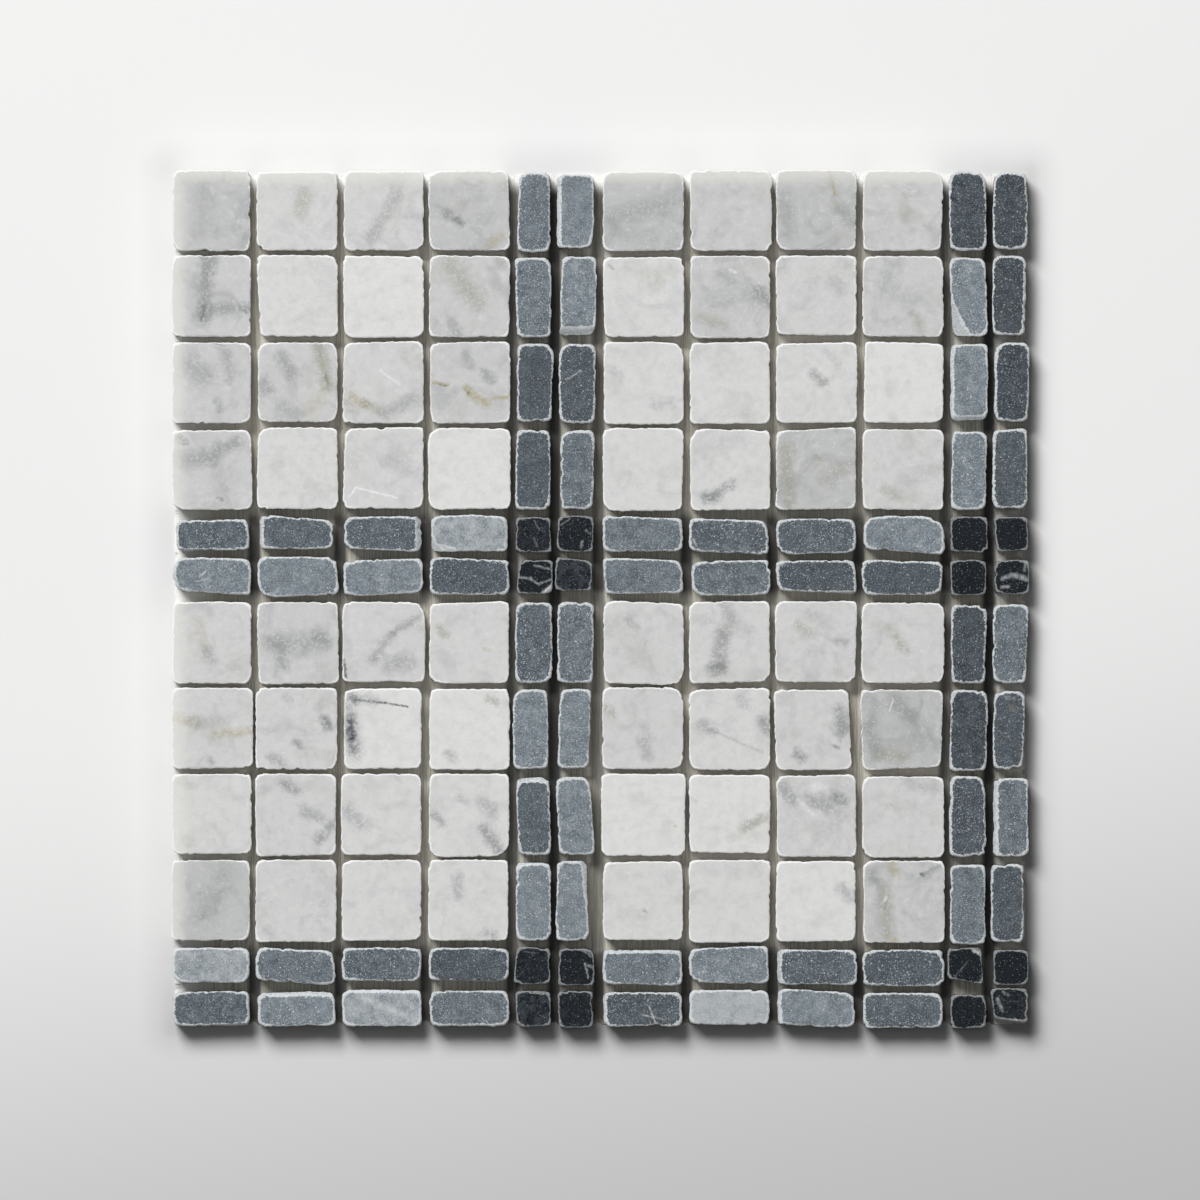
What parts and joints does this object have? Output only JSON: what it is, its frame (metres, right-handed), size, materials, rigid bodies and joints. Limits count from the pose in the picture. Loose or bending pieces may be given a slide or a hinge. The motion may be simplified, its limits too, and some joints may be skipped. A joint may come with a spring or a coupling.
{
  "type": "mosaic tile sheet",
  "caption": "Tumbled marble mosaic sheet in a plaid of white squares, grey sticks and small black squares on a thin mesh backing, for a wall or floor.",
  "frame": {"origin": "middle of the sheet, on the underside of the backing", "axes": "+X runs across the sheet, +Y up it towards the first row, and +Z out of the stones' faces"},
  "size_m": [0.3057, 0.3059, 0.0102],
  "materials": {
    "white_marble": "tumbled, honed face",
    "grey_marble": "tumbled, honed face",
    "black_marble": "tumbled, honed face",
    "mesh_backing": "dried glue film with a woven net"
  },
  "bodies": {
    "root": {"black_squares_row_05_left": "black_marble", "black_squares_row_05_right": "black_marble", "black_squares_row_06_left": "black_marble", "black_squares_row_06_right": "black_marble", "black_squares_row_11_left": "black_marble", "black_squares_row_11_right": "black_marble", "black_squares_row_12_left": "black_marble", "black_squares_row_12_right": "black_marble", "level_sticks_row_05_left": "grey_marble", "level_sticks_row_05_right": "grey_marble", "level_sticks_row_06_left": "grey_marble", "level_sticks_row_06_right": "grey_marble", "level_sticks_row_11_left": "grey_marble", "level_sticks_row_11_right": "grey_marble", "level_sticks_row_12_left": "grey_marble", "level_sticks_row_12_right": "grey_marble", "mesh_backing": "mesh_backing", "upright_sticks_row_01_left": "grey_marble", "upright_sticks_row_01_right": "grey_marble", "upright_sticks_row_02_left": "grey_marble", "upright_sticks_row_02_right": "grey_marble", "upright_sticks_row_03_left": "grey_marble", "upright_sticks_row_03_right": "grey_marble", "upright_sticks_row_04_left": "grey_marble", "upright_sticks_row_04_right": "grey_marble", "upright_sticks_row_07_left": "grey_marble", "upright_sticks_row_07_right": "grey_marble", "upright_sticks_row_08_left": "grey_marble", "upright_sticks_row_08_right": "grey_marble", "upright_sticks_row_09_left": "grey_marble", "upright_sticks_row_09_right": "grey_marble", "upright_sticks_row_10_left": "grey_marble", "upright_sticks_row_10_right": "grey_marble", "white_squares_row_01_left": "white_marble", "white_squares_row_01_right": "white_marble", "white_squares_row_02_left": "white_marble", "white_squares_row_02_right": "white_marble", "white_squares_row_03_left": "white_marble", "white_squares_row_03_right": "white_marble", "white_squares_row_04_left": "white_marble", "white_squares_row_04_right": "white_marble", "white_squares_row_07_left": "white_marble", "white_squares_row_07_right": "white_marble", "white_squares_row_08_left": "white_marble", "white_squares_row_08_right": "white_marble", "white_squares_row_09_left": "white_marble", "white_squares_row_09_right": "white_marble", "white_squares_row_10_left": "white_marble", "white_squares_row_10_right": "white_marble"}
  },
  "joints": []
}
